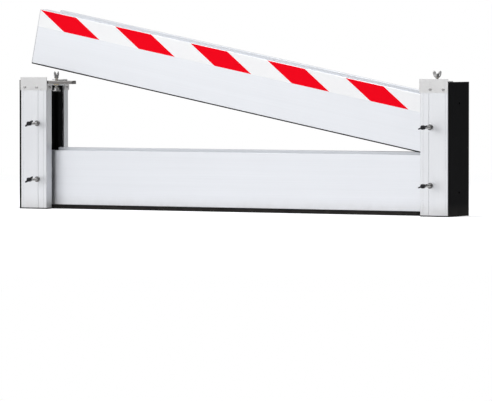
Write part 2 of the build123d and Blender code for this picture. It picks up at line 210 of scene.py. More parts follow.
def broken_edge_metal(name, tint, roughness):
    """Metal for a broken or cut edge in its own tint, with rub marks; where that tint is brighter than the
    face beside it, it is a painted highlight.
    """
    material, tree, shader = new_finish(name, Metallic=1.0)
    where = add(tree, "ShaderNodeTexCoord").outputs["Object"]
    rub = use(tree, handling_group, {"Vector": where, "Clouds per metre": 30.0,
                                     "Marks per metre": 160.0})
    tree.links.new(colour_mix(tree, rub["Marks"], tint, POLISHED), shader.inputs["Base Color"])
    tree.links.new(calc(tree, "MULTIPLY_ADD", rub["Cloud"], 0.2, roughness), shader.inputs["Roughness"])
    return material


def plain_mesh(piece):
    """The piece with its modifiers worked in, so that only a mesh is left."""
    shown = piece.evaluated_get(bpy.context.evaluated_depsgraph_get())
    mesh = bpy.data.meshes.new_from_object(shown)
    mesh.name = piece.name
    piece.modifiers.clear()
    piece.data = mesh
    return piece


def new_piece(name, mesh, materials):
    """A mesh in the scene, with its materials."""
    piece = bpy.data.objects.new(name, mesh)
    scene.collection.objects.link(piece)
    mesh.materials.clear()
    for material in materials:
        mesh.materials.append(material)
    return piece


WELD = 0.00001              # corners of a CAD node's loose triangles closer than this are one
FLAT = radians(0.5)         # faces that turn less than this are one face


def broken_edges(node, name, width, materials, segments=2, angle=35.0):
    """A copy of a CAD node with its sharp edges broken; the new faces take the last material."""
    mesh = nodes[node].data.copy()
    work = bmesh.new()
    work.from_mesh(mesh)
    bmesh.ops.remove_doubles(work, verts=work.verts, dist=WELD)
    bmesh.ops.dissolve_limit(work, angle_limit=FLAT, verts=work.verts, edges=work.edges)
    for face in work.faces:
        face.material_index = 0
        face.smooth = True
    work.to_mesh(mesh)
    work.free()
    piece = new_piece(name, mesh, materials)
    edge = piece.modifiers.new("edge", "BEVEL")
    edge.width = width
    edge.segments = segments
    edge.limit_method = "ANGLE"
    edge.angle_limit = radians(angle)
    edge.harden_normals = False
    edge.material = len(materials) - 1
    plain_mesh(piece)
    piece.data.set_sharp_from_angle(angle=radians(angle))
    flat = piece.modifiers.new("flat", "WEIGHTED_NORMAL")
    flat.keep_sharp = True
    return plain_mesh(piece)


def stands_for(piece, node):
    """The piece moves with the CAD node's body and is shown in its place."""
    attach(piece, nodes[node]["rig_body"])
    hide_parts(node)


UPRIGHT = (0.0, 0.0, 0.0)   # turns for drawn or brushed lines, so that they run along Z, X or Y
LENGTHWAYS = (0.0, radians(90), 0.0)
FRONT_TO_BACK = (radians(90), 0.0, 0.0)
POST_TINT = (0.80, 0.81, 0.83, 1.0)
# Broken corners of the aluminium get a tint brighter than their faces: a painted highlight along each edge.
CORNER_HIGHLIGHT_TINT = (0.93, 0.935, 0.95, 1.0)
POST_EDGE = 0.0007
post_metal = satin_aluminium("post_satin_aluminium", UPRIGHT, POST_TINT, 0.36)
corner_highlight_metal = broken_edge_metal("corner_bright_aluminium", CORNER_HIGHLIGHT_TINT, 0.16)
for side in ("left", "right"):
    post = broken_edges(f"{side}_post", f"{side}_post_shell", POST_EDGE, [post_metal, corner_highlight_metal])
    stands_for(post, f"{side}_post")

# ---------------------------------------------------------------------------------------------
# Rubber in and behind the posts. Cut from black EPDM sheet and strip and glued on: a thick
# sheet against the wall, a pad under the foot, a liner on the web, a lip on the front flange
# and a two-lipped seal on the rear flange.

RUBBER_DARK = (0.0025, 0.0025, 0.003, 1.0)
RUBBER_PALE = (0.006, 0.006, 0.0065, 1.0)
RUBBER_DUST = 0.05          # how high up the rubber the floor's dust reaches


def black_rubber(name, speckle, roughness):
    """Vulcanised sheet: matt, with talc in its pores and dust near the floor."""
    material, tree, shader = new_finish(name, Metallic=0.0, Specular_IOR_Level=0.04)
    where = add(tree, "ShaderNodeTexCoord").outputs["Object"]
    rub = use(tree, handling_group, {"Vector": where, "Clouds per metre": 14.0,
                                     "Marks per metre": 60.0})
    dust = use(tree, floor_dust_group, {"Vector": where, "Height": RUBBER_DUST})["Dust"]
    pores = add(tree, "ShaderNodeTexNoise", {"Vector": where, "Scale": speckle, "Detail": 2.0}).outputs[0]
    body = colour_mix(tree, rub["Cloud"], RUBBER_DARK, RUBBER_PALE)
    talc = calc(tree, "MULTIPLY_ADD", rub["Marks"], 0.012, calc(tree, "MULTIPLY", dust, 0.1))
    tree.links.new(colour_mix(tree, talc, body, DUST), shader.inputs["Base Color"])
    tree.links.new(calc(tree, "MULTIPLY_ADD", pores, 0.25, roughness), shader.inputs["Roughness"])
    bump = add(tree, "ShaderNodeBump", {"Height": pores, "Strength": 0.5, "Distance": 0.0002})
    tree.links.new(bump.outputs[0], shader.inputs["Normal"])
    return material


sheet_rubber = black_rubber("sheet_rubber", 900.0, 0.5)
seal_rubber = black_rubber("seal_rubber", 1500.0, 0.42)
RUBBER_PIECES = (("wall_gasket", sheet_rubber, 0.0008), ("base_pad", sheet_rubber, 0.0006),
                 ("web_liner", sheet_rubber, 0.0005), ("front_lip", seal_rubber, 0.0006),
                 ("rear_seal", seal_rubber, 0.0012))    # node, rubber, width of its broken edges
for side in ("left", "right"):
    for node, rubber, width in RUBBER_PIECES:
        piece = broken_edges(f"{side}_{node}", f"{side}_{node}_rubber", width, [rubber])
        stands_for(piece, f"{side}_{node}")

# ---------------------------------------------------------------------------------------------
# Brackets. Folded from brushed stainless sheet and screwed round the top of each post: one
# on the front flange, and one on the rear flange with the tongue that keeps the arm down.

PLATE_TINT = (0.83, 0.825, 0.82, 1.0)
CUT_TINT = (0.78, 0.77, 0.75, 1.0)
BRUSHED_GROOVE = (0.2, 0.19, 0.18, 1.0)
SHEET_EDGE = 0.0004


def brushed_stainless(name, turn, tint, roughness, lines=1600.0):
    """Belt-brushed sheet, its lines along the axis that turn brings to Z."""
    material, tree, shader = new_finish(name, Metallic=1.0, Anisotropic=0.4)
    where = add(tree, "ShaderNodeTexCoord").outputs["Object"]
    along = add(tree, "ShaderNodeMapping", {"Vector": where, "Rotation": turn}).outputs[0]
    brush = use(tree, drawn_lines_group, {"Vector": along, "Lines per metre": lines, "Stretch": 0.03})
    rub = use(tree, handling_group, {"Vector": along, "Clouds per metre": 40.0,
                                     "Marks per metre": 120.0})
    shade = add(tree, "ShaderNodeMapRange", {"Value": brush["Shade"], "From Min": 0.3, "From Max": 0.7,
                                             "To Min": 0.9, "To Max": 1.0}).outputs[0]
    tree.links.new(colour_mix(tree, shade, BRUSHED_GROOVE, tint), shader.inputs["Base Color"])
    gloss = calc(tree, "MULTIPLY_ADD", rub["Cloud"], 0.16, roughness - 0.08)
    tree.links.new(calc(tree, "MULTIPLY_ADD", rub["Marks"], 0.1, gloss), shader.inputs["Roughness"])
    bump = add(tree, "ShaderNodeBump", {"Height": brush["Height"], "Strength": 0.4,
                                        "Distance": 0.00006})
    tree.links.new(bump.outputs[0], shader.inputs["Normal"])
    return material


plate_steel = brushed_stainless("plate_stainless", LENGTHWAYS, PLATE_TINT, 0.3)
plate_edge = broken_edge_metal("plate_cut_edge", CUT_TINT, 0.2)
for side in ("left", "right"):
    for node in ("front_bracket", "rear_bracket"):
        piece = broken_edges(f"{side}_{node}", f"{side}_{node}_sheet", SHEET_EDGE,
                             [plate_steel, plate_edge])
        stands_for(piece, f"{side}_{node}")

# ---------------------------------------------------------------------------------------------
# Bracket screws. M6 button-head socket screws in stainless steel, six to a post, their heads
# turned and their sockets punched. One head is made and set on every screw's place.

SAME_POINT = 0.0000005      # points of a turned piece closer than this are one
HEAD_STEPS = 48
HEAD_FOOT = (0.96, 0.05)    # chamfer under a head: radius left and height, as shares of the radius
SOCKET_LEAD = (1.28, 1.22, 0.08)    # chamfer round a socket: outer, inner radius and depth
SOCKET_POINT = 0.35         # depth of the drill point under a socket; all shares of its radius


def lathe(work, profile, steps, caps=True):
    """Spins (radius, height) points about Z into bmesh work; the ends are closed."""
    rings = []
    for radius, height in profile:
        turns = [2 * pi * i / steps for i in range(steps)]
        rings.append([work.verts.new((radius * cos(turn), radius * sin(turn), height)) for turn in turns])
    faces = []
    for low, high in zip(rings, rings[1:]):
        for i in range(steps):
            j = (i + 1) % steps
            faces.append(work.faces.new((low[i], low[j], high[j], high[i])))
    if caps:
        faces.append(work.faces.new(list(reversed(rings[0]))))
        faces.append(work.faces.new(rings[-1]))
    for face in faces:
        face.smooth = True
    return rings


def arc(centre_r, centre_z, radius, start, end, steps):
    """Points of an arc in (radius, height), angles in degrees from the outward direction."""
    angles = [radians(start + (end - start) * i / steps) for i in range(steps + 1)]
    return [(centre_r + radius * cos(angle), centre_z + radius * sin(angle)) for angle in angles]


TURNED_SHARP = 32           # turned pieces are shaded smooth below this many degrees


def finished(work, name, materials, sharp=TURNED_SHARP):
    """The bmesh as a piece, normals outward, sharp only where it turns sharply."""
    bmesh.ops.remove_doubles(work, verts=work.verts, dist=SAME_POINT)
    bmesh.ops.recalc_face_normals(work, faces=work.faces)
    mesh = bpy.data.meshes.new(name)
    work.to_mesh(mesh)
    work.free()
    piece = new_piece(name, mesh, materials)
    mesh.set_sharp_from_angle(angle=radians(sharp))
    return piece


def socket_head(name, radius, height, key_radius, key_depth, round_over, materials):
    """A turned head with a hexagon socket, standing on Z = 0."""
    work = bmesh.new()
    outline = [(radius * HEAD_FOOT[0], 0.0), (radius, radius * HEAD_FOOT[1])]
    outline += arc(radius - round_over, height - round_over, round_over, 0, 80, 8)
    outer, inner, lead = [key_radius * share for share in SOCKET_LEAD]
    mouth_z, floor_z = height - lead, height - key_depth
    outline += [(outer, height), (inner, mouth_z)]
    rings = lathe(work, outline, HEAD_STEPS, caps=False)
    work.faces.new(list(reversed(rings[0])))
    rim = []
    for i in range(HEAD_STEPS):
        angle = 2 * pi * i / HEAD_STEPS
        reach = key_radius / cos((angle + pi / 6) % (pi / 3) - pi / 6)
        rim.append((reach * cos(angle), reach * sin(angle)))
    top = [work.verts.new((x, y, mouth_z)) for x, y in rim]
    bottom = [work.verts.new((x, y, floor_z)) for x, y in rim]
    point = work.verts.new((0.0, 0.0, floor_z - key_radius * SOCKET_POINT))
    lip = rings[-1]
    for i in range(HEAD_STEPS):
        j = (i + 1) % HEAD_STEPS
        for face in ((lip[i], lip[j], top[j], top[i]), (top[i], top[j], bottom[j], bottom[i]),
                     (bottom[i], bottom[j], point)):
            work.faces.new(face).smooth = True
    return finished(work, name, materials)


def spread_tree(name):
    """Geometry nodes: one shape set on every point of a mesh, its Z turned to the point's facing."""
    tree = bpy.data.node_groups.new(name, "GeometryNodeTree")
    for label, kind in (("Places", "Geometry"), ("Shape", "Object"), ("Size", "Float"),
                        ("Finish", "Material")):
        tree.interface.new_socket(label, in_out="INPUT", socket_type="NodeSocket" + kind)
    tree.interface.new_socket("Geometry", in_out="OUTPUT", socket_type="NodeSocketGeometry")
    given = tree.nodes.new("NodeGroupInput").outputs
    put = tree.nodes.new("NodeGroupOutput").inputs
    shape = add(tree, "GeometryNodeObjectInfo", {"Object": given["Shape"]}).outputs["Geometry"]
    facing = add(tree, "GeometryNodeInputNamedAttribute", {"Name": "facing"}, data_type="FLOAT_VECTOR")
    turn = add(tree, "FunctionNodeAlignEulerToVector", {"Vector": facing.outputs[0]}, axis="Z")
    points = add(tree, "GeometryNodeMeshToPoints", {"Mesh": given["Places"]}).outputs[0]
    every = add(tree, "GeometryNodeInstanceOnPoints",
                {"Points": points, "Instance": shape, "Rotation": turn.outputs[0]})
    sized = add(tree, "GeometryNodeScaleInstances", {"Instances": every.outputs[0], "Scale": (1, 1, 1)})
    size = add(tree, "ShaderNodeCombineXYZ", {"X": given["Size"], "Y": given["Size"], "Z": given["Size"]})
    tree.links.new(size.outputs[0], sized.inputs["Scale"])
    whole = add(tree, "GeometryNodeRealizeInstances", {"Geometry": sized.outputs[0]}).outputs[0]
    done = add(tree, "GeometryNodeSetMaterial", {"Geometry": whole, "Material": given["Finish"]}).outputs[0]
    tree.links.new(done, put["Geometry"])
    return tree


def grown(piece, tree, values):
    """Runs a geometry tree on the piece with the named values, and keeps only the mesh."""
    modifier = piece.modifiers.new("made", "NODES")
    modifier.node_group = tree
    sockets = {item.name: item.identifier for item in tree.interface.items_tree
               if item.item_type == "SOCKET" and item.in_out == "INPUT"}
    for label, value in values.items():
        modifier[sockets[label]] = value
    return plain_mesh(piece)


def at_places(name, places, shape, finish, tree, size=1.0):
    """A shape set at each (point, direction) of places, as one mesh."""
    mesh = bpy.data.meshes.new(name)
    mesh.from_pydata([point for point, _ in places], [], [])
    facing = mesh.attributes.new("facing", "FLOAT_VECTOR", "POINT")
    for i, (_, direction) in enumerate(places):
        facing.data[i].vector = direction
    piece = bpy.data.objects.new(name, mesh)
    scene.collection.objects.link(piece)
    grown(piece, tree, {"Shape": shape, "Size": size, "Finish": finish})
    piece.data.set_sharp_from_angle(angle=radians(TURNED_SHARP))
    return piece


SCREW_TINT = (0.45, 0.445, 0.44, 1.0)
BUTTON_RADIUS = 0.005
BUTTON_HEIGHT = 0.0032
BUTTON_KEY = (0.002, 0.0016)    # socket: half its width across the flats, and its depth
BUTTON_ROUND = 0.0022
SCREW_ROWS = (0.018, 0.066)     # of the front and rear screws, from the bracket's outer end
screw_steel = brushed_stainless("screw_stainless", UPRIGHT, SCREW_TINT, 0.26, 2400.0)
spread = spread_tree("set_on_places")
button = socket_head("button_head_pattern", BUTTON_RADIUS, BUTTON_HEIGHT, *BUTTON_KEY, BUTTON_ROUND,
                     [screw_steel])
for side in ("left", "right"):
    outward = -1 if side == "left" else 1
    low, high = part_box(f"{side}_bracket_screws")
    front, back = low.y + BUTTON_HEIGHT, high.y - BUTTON_HEIGHT
    level = (low.z + high.z) / 2
    box_low, box_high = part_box(f"{side}_front_bracket")
    outer = box_low.x if side == "left" else box_high.x
    inner = box_high.x if side == "left" else box_low.x
    post_low, post_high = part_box(f"{side}_post")
    rows = [outer - outward * row for row in SCREW_ROWS]
    places = [((x, front, level), (0, -1, 0)) for x in rows]
    places += [((x, back, level), (0, 1, 0)) for x in rows]
    front_flange_y = (post_low.y + box_high.y) / 2
    rear_flange_y = (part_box(f"{side}_rear_bracket")[0].y + post_high.y) / 2
    places += [((inner, y, level), (-outward, 0, 0)) for y in (front_flange_y, rear_flange_y)]
    heads = at_places(f"{side}_button_heads", places, button, screw_steel, spread)
    stands_for(heads, f"{side}_bracket_screws")
bpy.data.objects.remove(button)

# ---------------------------------------------------------------------------------------------
# Bushes for the front wing screws. Turned stainless bushes with a flange, pressed through the
# front flange of each post and tapped M10.

# The bushes' tint is far darker than stainless: painted shade, for the shadow each wing screw casts round
# its foot.
BUSH_SHADE_TINT = (0.22, 0.22, 0.22, 1.0)
BUSH_EDGE = 0.0008
bush_shaded_steel = brushed_stainless("bush_stainless", UPRIGHT, BUSH_SHADE_TINT, 0.3, 2000.0)
for side in ("left", "right"):
    bushes = broken_edges(f"{side}_screw_bushes", f"{side}_turned_bushes", BUSH_EDGE, [bush_shaded_steel],
                          segments=3)
    stands_for(bushes, f"{side}_screw_bushes")

# ---------------------------------------------------------------------------------------------
# Front wing screws. An M10 screw with a rolled thread, a plain collar, and a cast wing head
# blackened against rust. Two on each post, standing out of the front.


THREAD_STEPS = 24           # round one turn of a thread
RIDGE_STEPS = 4             # round the section of its ridge
CORE_STEPS = 32


def thread_tree(name):
    """Geometry nodes: a rolled thread, a ridge wound round a core, standing on Z = 0."""
    tree = bpy.data.node_groups.new(name, "GeometryNodeTree")
    for label, kind in (("Places", "Geometry"), ("Radius", "Float"), ("Depth", "Float"),
                        ("Pitch", "Float"), ("Length", "Float"), ("Finish", "Material")):
        tree.interface.new_socket(label, in_out="INPUT", socket_type="NodeSocket" + kind)
    tree.interface.new_socket("Geometry", in_out="OUTPUT", socket_type="NodeSocketGeometry")
    given = tree.nodes.new("NodeGroupInput").outputs
    put = tree.nodes.new("NodeGroupOutput").inputs
    root = calc(tree, "SUBTRACT", given["Radius"], given["Depth"])
    turns = calc(tree, "SUBTRACT", calc(tree, "DIVIDE", given["Length"], given["Pitch"]), 1.0)
    wound = calc(tree, "MULTIPLY", turns, given["Pitch"])
    helix = add(tree, "GeometryNodeCurveSpiral",
                {"Resolution": THREAD_STEPS, "Rotations": turns, "Start Radius": root,
                 "End Radius": root, "Height": wound}).outputs[0]
    ridge = add(tree, "GeometryNodeCurvePrimitiveCircle",
                {"Resolution": RIDGE_STEPS, "Radius": given["Depth"]}, mode="RADIUS").outputs[0]
    rolled = add(tree, "GeometryNodeCurveToMesh", {"Curve": helix, "Profile Curve": ridge,
                                                   "Fill Caps": True}).outputs[0]
    lift = add(tree, "ShaderNodeCombineXYZ", {"Z": calc(tree, "MULTIPLY", given["Pitch"], 0.5)}).outputs[0]
    rolled = add(tree, "GeometryNodeTransform", {"Geometry": rolled, "Translation": lift}).outputs[0]
    core = add(tree, "GeometryNodeMeshCylinder", {"Vertices": CORE_STEPS, "Radius": root,
                                                  "Depth": given["Length"]}).outputs[0]
    half = add(tree, "ShaderNodeCombineXYZ", {"Z": calc(tree, "MULTIPLY", given["Length"], 0.5)}).outputs[0]
    core = add(tree, "GeometryNodeTransform", {"Geometry": core, "Translation": half}).outputs[0]
    both = tree.nodes.new("GeometryNodeJoinGeometry")
    tree.links.new(rolled, both.inputs[0])
    tree.links.new(core, both.inputs[0])
    whole = add(tree, "GeometryNodeRealizeInstances", {"Geometry": both.outputs[0]}).outputs[0]
    done = add(tree, "GeometryNodeSetMaterial", {"Geometry": whole, "Material": given["Finish"]}).outputs[0]
    tree.links.new(done, put["Geometry"])
    return tree


THREAD_DEPTH = 0.42         # share of the pitch
THREAD_SHARP = 25


def threaded_rod(name, radius, pitch, length, finish):
    """A threaded rod standing on Z = 0."""
    piece = bpy.data.objects.new(name, bpy.data.meshes.new(name))
    scene.collection.objects.link(piece)
    grown(piece, rolled_thread, {"Radius": radius, "Depth": pitch * THREAD_DEPTH, "Pitch": pitch,
                                 "Length": length, "Finish": finish})
    piece.data.set_sharp_from_angle(angle=radians(THREAD_SHARP))
    return piece


EAR_LEAN = radians(18)
EAR_HALF = 0.2              # half an ear's width, as a share of the span
EAR_MIDDLE = 0.3            # from the axis to the middle of an ear, as a share of the span
EAR_FOOT = 0.03             # where an ear is cut off level, as a share of the height
EAR_POINTS = 28
# From an ear's rim to its crown: share of the outline, and share of half the thickness.
EAR_RISE = ((1.0, 0.0), (0.97, 0.55), (0.88, 0.9), (0.72, 1.0), (0.4, 0.78))
HUB_ROUND = 0.002
HUB_FOOT = (0.9, 0.0008)    # chamfer under the hub: share of the radius left, and its height
HUB_PIP = (0.0005, 0.0003)  # casting pip on top of the hub: radius and height
HUB_STEPS = 40
CAST_SHARP = 40
ROOT = (0.5, 0.82, 0.55)    # block that joins hub and ears: shares of span, thickness, hub height
ROOT_MIDDLE = 0.42          # its middle, as a share of the hub's height


def ear_top(span, height):
    """How far the leaning ears of a wing head reach above its foot."""
    return height / 2 + hypot(height / 2 * cos(EAR_LEAN), span * EAR_HALF * sin(EAR_LEAN))


def wing_head(name, span, height, hub_radius, hub_height, thickness, materials):
    """A cast wing head standing on Z = 0: a domed hub and two ears leaning outwards."""
    work = bmesh.new()
    dome = arc(hub_radius - HUB_ROUND, hub_height - HUB_ROUND, HUB_ROUND, 0, 90, 6)
    foot = [(hub_radius * HUB_FOOT[0], 0.0), (hub_radius, HUB_FOOT[1])]
    lathe(work, foot + dome + [(HUB_PIP[0], hub_height + HUB_PIP[1])], HUB_STEPS)
    for way in (-1, 1):
        rim = []
        for i in range(EAR_POINTS):
            t = 2 * pi * i / EAR_POINTS
            reach, rise = span * EAR_HALF * cos(t), height * 0.5 * sin(t)
            lean = EAR_LEAN * way
            x = way * span * EAR_MIDDLE + reach * cos(lean) + rise * sin(lean)
            z = height * 0.5 + rise * cos(lean) - reach * sin(lean)
            rim.append((x, min(max(z, height * EAR_FOOT), height)))
        centre_x = sum(x for x, _ in rim) / EAR_POINTS
        centre_z = sum(z for _, z in rim) / EAR_POINTS
        for sign in (-1, 1):
            rings = []
            for inset, depth in EAR_RISE:
                y = sign * depth * thickness / 2
                rings.append([work.verts.new((centre_x + (x - centre_x) * inset, y,
                                              centre_z + (z - centre_z) * inset)) for x, z in rim])
            for low, high in zip(rings, rings[1:]):
                for i in range(EAR_POINTS):
                    j = (i + 1) % EAR_POINTS
                    work.faces.new((low[i], low[j], high[j], high[i])).smooth = True
            work.faces.new(rings[-1]).smooth = True
    root = bmesh.ops.create_cube(work, size=1.0)["verts"]
    bmesh.ops.scale(work, verts=root, vec=(span * ROOT[0], thickness * ROOT[1], hub_height * ROOT[2]))
    bmesh.ops.translate(work, verts=root, vec=(0.0, 0.0, hub_height * ROOT_MIDDLE))
    return finished(work, name, materials, CAST_SHARP)


def joined(name, pieces):
    """Several meshes as one piece."""
    for piece in pieces:
        piece.select_set(True)
    bpy.context.view_layer.objects.active = pieces[0]
    with bpy.context.temp_override(active_object=pieces[0], object=pieces[0], selected_objects=pieces,
                                   selected_editable_objects=pieces):
        bpy.ops.object.join()
    pieces[0].name = name
    pieces[0].data.name = name
    pieces[0].select_set(False)
    return pieces[0]


RUBBED_IRON = (0.22, 0.22, 0.225, 1.0)


def cast_black(name, colour, roughness):
    """Cast and blackened iron: fine sand texture, rubbed grey here and there."""
    material, tree, shader = new_finish(name, Metallic=0.85)
    where = add(tree, "ShaderNodeTexCoord").outputs["Object"]
    rub = use(tree, handling_group, {"Vector": where, "Clouds per metre": 90.0,
                                     "Marks per metre": 260.0})
    sand = add(tree, "ShaderNodeTexNoise", {"Vector": where, "Scale": 1800.0, "Detail": 3.0}).outputs[0]
    worn = calc(tree, "MULTIPLY", rub["Marks"], 0.55)
    tree.links.new(colour_mix(tree, worn, colour, RUBBED_IRON), shader.inputs["Base Color"])
    tree.links.new(calc(tree, "MULTIPLY_ADD", rub["Cloud"], 0.2, roughness), shader.inputs["Roughness"])
    bump = add(tree, "ShaderNodeBump", {"Height": sand, "Strength": 0.5, "Distance": 0.00015})
    tree.links.new(bump.outputs[0], shader.inputs["Normal"])
    return material


THREAD_RADIUS = 0.005
THREAD_PITCH = 0.0015
FRONT_REACH = 0.055         # from the post's face to the middle of the wing hub
HUB_LENGTH = 0.014
HUB_RADIUS = 0.0075
COLLAR = (0.0065, 0.005)    # radius and length
COLLAR_CHAMFER = (0.85, 0.0006)     # share of the radius left at an end, and the chamfer's length
FRONT_WING = (0.036, 0.015, 0.004)  # span, height and thickness
WING_TURN = {"left": 35.0, "right": 20.0}
IRON = (0.022, 0.022, 0.024, 1.0)
ROD_TINT = (0.5, 0.495, 0.485, 1.0)
rolled_thread = thread_tree("rolled_thread")
black_iron = cast_black("wing_black_iron", IRON, 0.28)
rod_steel = brushed_stainless("rod_stainless", UPRIGHT, ROD_TINT, 0.24, 1500.0)
for side in ("left", "right"):
    for level in ("lower", "upper"):
        node = f"{side}_{level}_wing_screw"
        low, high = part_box(node)
        post_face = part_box(f"{side}_post")[0].y
        centre_x, centre_z = (low.x + high.x) / 2, (low.z + high.z) / 2
        head_base = post_face - FRONT_REACH + HUB_LENGTH / 2
        rod = threaded_rod(f"{node}_rod", THREAD_RADIUS, THREAD_PITCH, high.y - head_base, rod_steel)
        rod.data.transform(Matrix.Translation((centre_x, high.y, centre_z))
                           @ Matrix.Rotation(radians(90), 4, "X"))
        work = bmesh.new()
        radius, length = COLLAR
        end_radius, chamfer = radius * COLLAR_CHAMFER[0], COLLAR_CHAMFER[1]
        lathe(work, [(end_radius, 0.0), (radius, chamfer), (radius, length - chamfer),
                     (end_radius, length)], HUB_STEPS)
        collar = finished(work, f"{node}_collar", [rod_steel])
        span, height, thickness = FRONT_WING
        head = wing_head(f"{node}_head", span, height, HUB_RADIUS, HUB_LENGTH, thickness, [black_iron])
        for piece, turn in ((collar, -90), (head, 90)):
            piece.data.transform(Matrix.Translation((centre_x, head_base, centre_z))
                                 @ Matrix.Rotation(radians(turn), 4, "X")
                                 @ Matrix.Rotation(radians(WING_TURN[side]), 4, "Z"))
        screw = joined(f"{node}_whole", [rod, collar, head])
        stands_for(screw, node)

# ---------------------------------------------------------------------------------------------
# Pressure bars. Flat mill-finish aluminium behind the front flange of each post, with a strip
# of rubber bonded to the face that meets the boards.

MILL_TINT = (0.62, 0.63, 0.65, 1.0)
BAR_EDGE = 0.0005
FACING_EDGE = 0.0004
bar_metal = satin_aluminium("bar_mill_aluminium", UPRIGHT, MILL_TINT, 0.42, 500.0)
for side in ("left", "right"):
    bar = broken_edges(f"{side}_pressure_bar", f"{side}_pressure_flat", BAR_EDGE,
                       [bar_metal, corner_highlight_metal])
    stands_for(bar, f"{side}_pressure_bar")
    facing = broken_edges(f"{side}_bar_facing", f"{side}_bar_rubber", FACING_EDGE, [seal_rubber])
    stands_for(facing, f"{side}_bar_facing")

# ---------------------------------------------------------------------------------------------
# Clamp arms. A flat stainless arm on each post swings on a socket-head bolt, which is tapped
# into a block inside the flange; a brass bush in the arm takes the hold-down screw.

# The arms' tint is far darker than the other stainless: painted shade, for the arms lying in shadow.
ARM_SHADED_TINT = (0.27, 0.258, 0.25, 1.0)
ARM_EDGE = 0.0005
WASHER_EDGE = 0.0003
BOLT_RADIUS = 0.0085
BOLT_HEAD = 0.0065
BOLT_KEY = (0.004, 0.0035)      # socket: half its width across the flats, and its depth
BOLT_ROUND = 0.001
BRASS_TARNISHED = (0.5, 0.36, 0.16, 1.0)
BRASS_BRIGHT = (0.72, 0.56, 0.28, 1.0)
arm_shaded_steel = {"left": brushed_stainless("arm_stainless_left", LENGTHWAYS, ARM_SHADED_TINT, 0.26),
             "right": brushed_stainless("arm_stainless_right", FRONT_TO_BACK, ARM_SHADED_TINT, 0.26)}


def turned_brass(name):
    """Machined brass with some tarnish and rub marks."""
    material, tree, shader = new_finish(name, Metallic=1.0)
    where = add(tree, "ShaderNodeTexCoord").outputs["Object"]
    rub = use(tree, handling_group, {"Vector": where, "Clouds per metre": 70.0,
                                     "Marks per metre": 200.0})
    tree.links.new(colour_mix(tree, rub["Cloud"], BRASS_TARNISHED, BRASS_BRIGHT),
                   shader.inputs["Base Color"])
    tree.links.new(calc(tree, "MULTIPLY_ADD", rub["Marks"], 0.2, 0.26), shader.inputs["Roughness"])
    return material


bush_brass = turned_brass("bush_brass")
for side in ("left", "right"):
    arm = broken_edges(f"{side}_clamp_arm", f"{side}_clamp_bar", ARM_EDGE, [arm_shaded_steel[side], plate_edge])
    stands_for(arm, f"{side}_clamp_arm")
    bush = broken_edges(f"{side}_arm_bush", f"{side}_arm_brass_bush", ARM_EDGE, [bush_brass])
    stands_for(bush, f"{side}_arm_bush")
    low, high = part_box(f"{side}_pivot_bolt")
    middle = (low + high) / 2
    head_foot = high.z - BOLT_HEAD
    head = socket_head(f"{side}_pivot_head", BOLT_RADIUS, BOLT_HEAD, *BOLT_KEY, BOLT_ROUND, [screw_steel])
    head.data.transform(Matrix.Translation((middle.x, middle.y, head_foot)))
    shank = threaded_rod(f"{side}_pivot_shank", THREAD_RADIUS, THREAD_PITCH, head_foot - low.z, screw_steel)
    shank.data.transform(Matrix.Translation((middle.x, middle.y, low.z)))
    bolt = joined(f"{side}_pivot_bolt_whole", [head, shank])
    stands_for(bolt, f"{side}_pivot_bolt")
    washer = broken_edges(f"{side}_pivot_washer", f"{side}_pivot_washer_ring", WASHER_EDGE, [screw_steel])
    stands_for(washer, f"{side}_pivot_washer")
    tapped = broken_edges(f"{side}_pivot_block", f"{side}_tapped_block", BAR_EDGE,
                          [bar_metal, corner_highlight_metal])
    stands_for(tapped, f"{side}_pivot_block")

# ---------------------------------------------------------------------------------------------
# Hold-down screws and press feet. A standing wing screw through each arm's bush turns in a
# stainless foot with a rubber pad, which presses the seated boards down on their seals.

